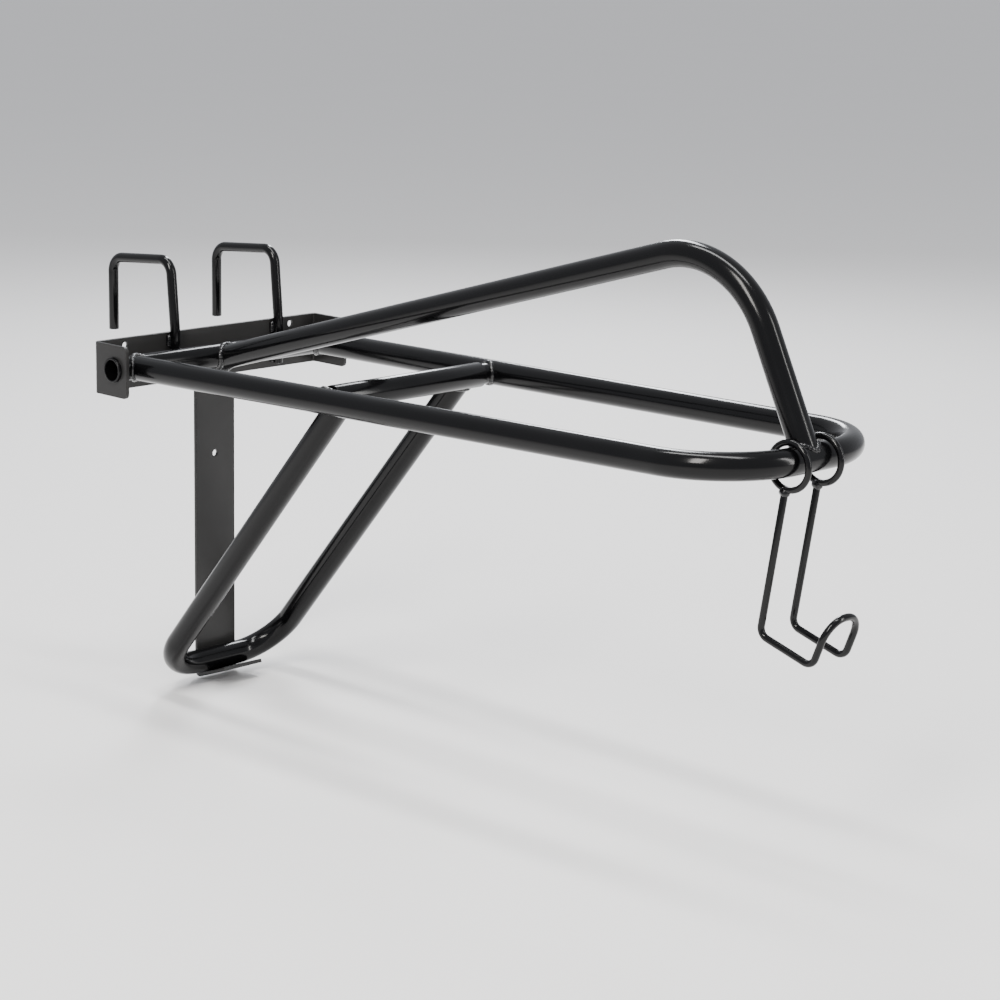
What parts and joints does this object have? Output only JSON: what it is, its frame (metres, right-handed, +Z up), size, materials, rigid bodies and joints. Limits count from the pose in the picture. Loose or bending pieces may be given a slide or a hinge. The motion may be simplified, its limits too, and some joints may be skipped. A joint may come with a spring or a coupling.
{
  "type": "folding wall-hung saddle rack",
  "caption": "Folding steel tube saddle arm on a flat-bar wall bracket with over-wall hooks, a hinged strut seated in a foot lip, and a ringed bridle hook.",
  "frame": {"origin": "on the rear face of the bracket's strap, which lies on the wall, at the height of the arm's pivot and at the middle of the bracket's width", "axes": "+X to the right along the wall for a person who faces it, +Y into the wall, +Z up"},
  "size_m": [0.232, 0.7205, 0.4096],
  "materials": {
    "bar_paint": "satin black powder coat on flat bar",
    "tube_paint": "gloss black powder coat on tube",
    "rod_paint": "gloss black paint on round rod and wire",
    "weld_paint": "gloss black paint over rough weld beads"
  },
  "bodies": {
    "bracket": {"back_bar": "bar_paint", "strap": "bar_paint", "foot_lip": "bar_paint", "strap_weld": "weld_paint", "hook_rod_left": "rod_paint", "hook_rod_right": "rod_paint", "hook_rod_welds": "weld_paint"},
    "arm": {"pivot_tube": "tube_paint", "arm_frame": "tube_paint", "rail_welds": "weld_paint", "ridge_bar": "tube_paint", "ridge_rear_weld": "weld_paint", "ridge_front_weld": "weld_paint", "hinge_rod": "tube_paint", "hinge_rod_welds": "weld_paint"},
    "strut": {"strut_sleeve": "tube_paint", "strut": "tube_paint", "strut_welds": "weld_paint"},
    "bridle_hook": {"bridle_ring_left": "rod_paint", "bridle_ring_right": "rod_paint", "bridle_hook": "rod_paint", "ring_welds": "weld_paint"}
  },
  "joints": [
    {"name": "arm_lift", "type": "hinge", "parent": "bracket", "child": "arm", "pos_m": [0, -0.028, 0], "axis": [-1, 0, 0], "range_deg": [0, 75]},
    {"name": "strut_swing", "type": "hinge", "parent": "arm", "child": "strut", "pos_m": [0, -0.23397, 0.0036], "axis": [-1, 0, 0], "range_deg": [-41.25, 0]},
    {"name": "bridle_swing", "type": "hinge", "parent": "arm", "child": "bridle_hook", "pos_m": [0, -0.60991, 0.01016], "axis": [-1, 0, 0], "range_deg": [-150, 170]}
  ],
  "couplings": [
    {"joint": "strut_swing", "follows": "arm_lift", "ratio": -0.55}
  ]
}
